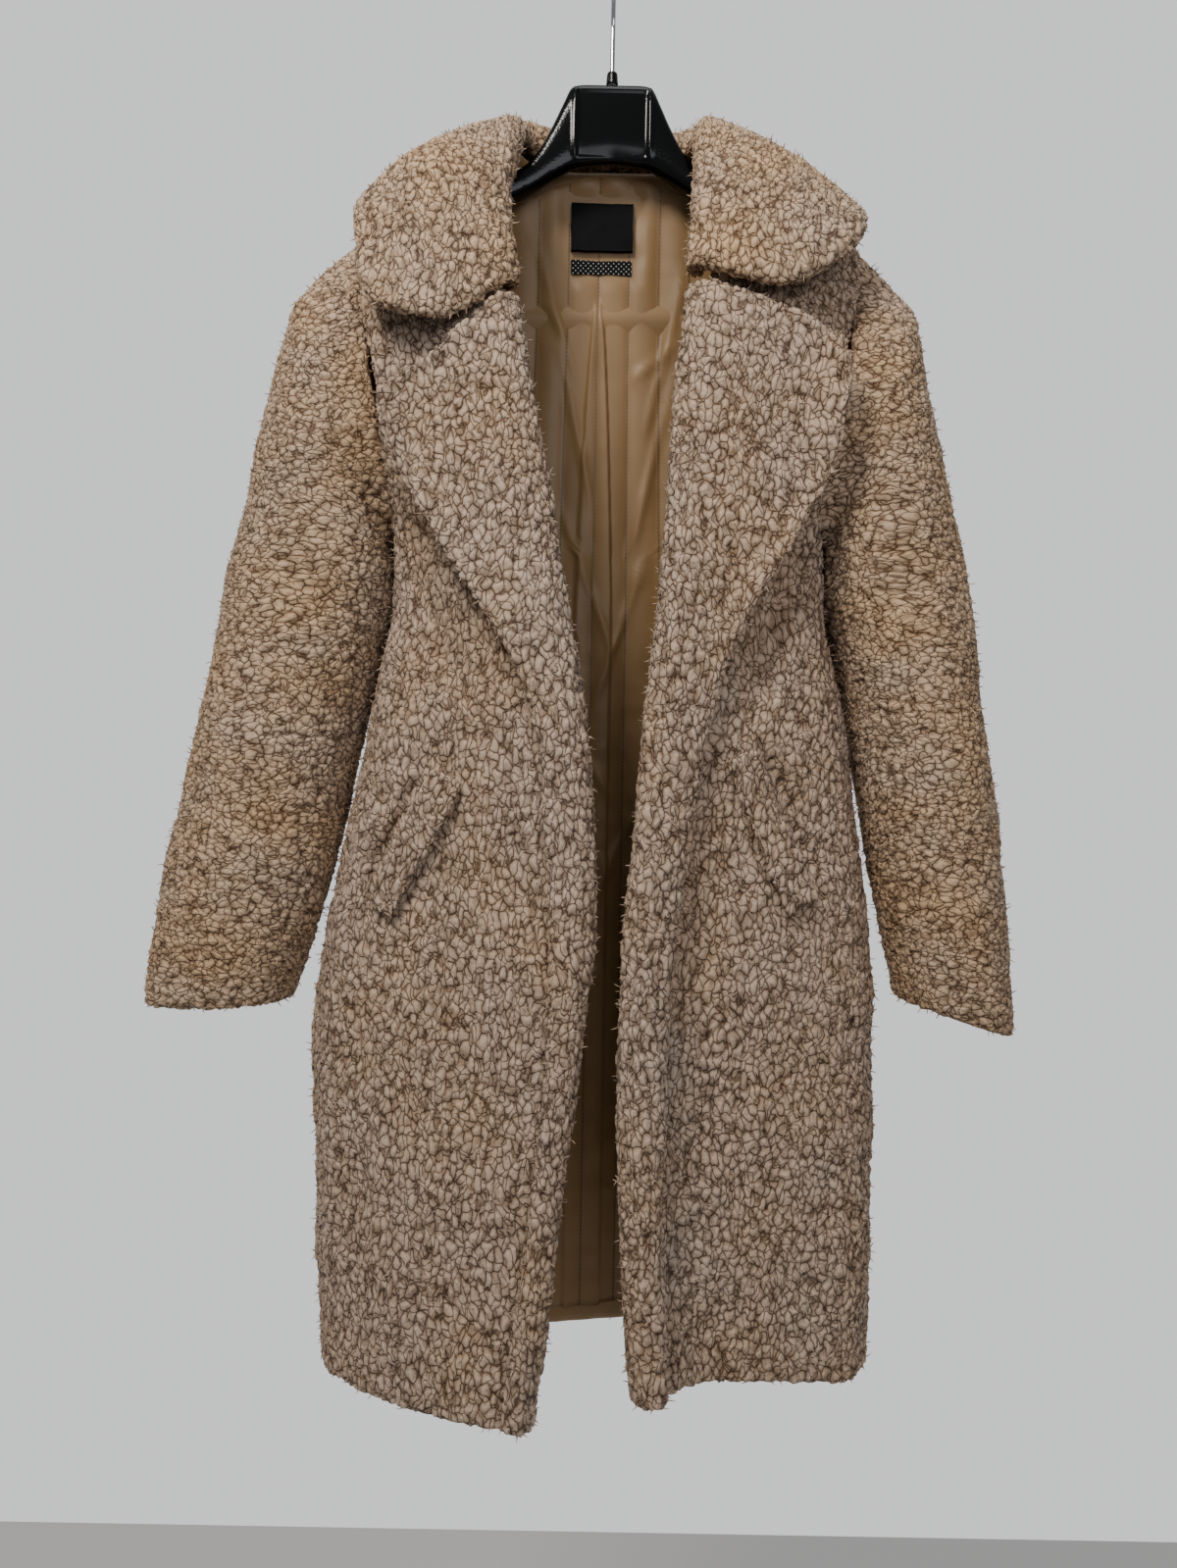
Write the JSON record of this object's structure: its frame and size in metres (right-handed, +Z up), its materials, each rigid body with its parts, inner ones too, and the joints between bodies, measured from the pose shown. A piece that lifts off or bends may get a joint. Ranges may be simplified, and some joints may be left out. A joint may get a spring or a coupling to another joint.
{
  "type": "faux fur coat on a hanger",
  "caption": "Knee-length curly-pile coat with a broad notched collar and rolled lapels, hanging open on a broad plastic hanger, with slanted pocket welts and a quilted lining.",
  "frame": {"origin": "inside top of the hook's bend, where a rail carries the hanger", "axes": "+Z up, +X towards the wearer's left side, the coat's open front towards -Y"},
  "size_m": [0.6706, 0.2031, 1.1311],
  "materials": {
    "curly_pile": "tan curly pile, matt",
    "satin_lining": "camel satin, soft sheen",
    "black_weave": "black woven tape",
    "black_plastic": "black, fine grain, glossy",
    "hook_chrome": "polished"
  },
  "bodies": {
    "root": {"back": "curly_pile", "collar": "curly_pile", "front_left": "curly_pile", "sleeve_left": "curly_pile", "facing_left": "curly_pile", "pocket_welt_left": "curly_pile", "front_right": "curly_pile", "sleeve_right": "curly_pile", "facing_right": "curly_pile", "pocket_welt_right": "curly_pile", "lining_back": "satin_lining", "label_main": "black_weave", "label_strip": "black_weave", "hanger_body": "black_plastic", "hanger_ferrule": "black_plastic", "hanger_hook": "hook_chrome"}
  },
  "joints": []
}
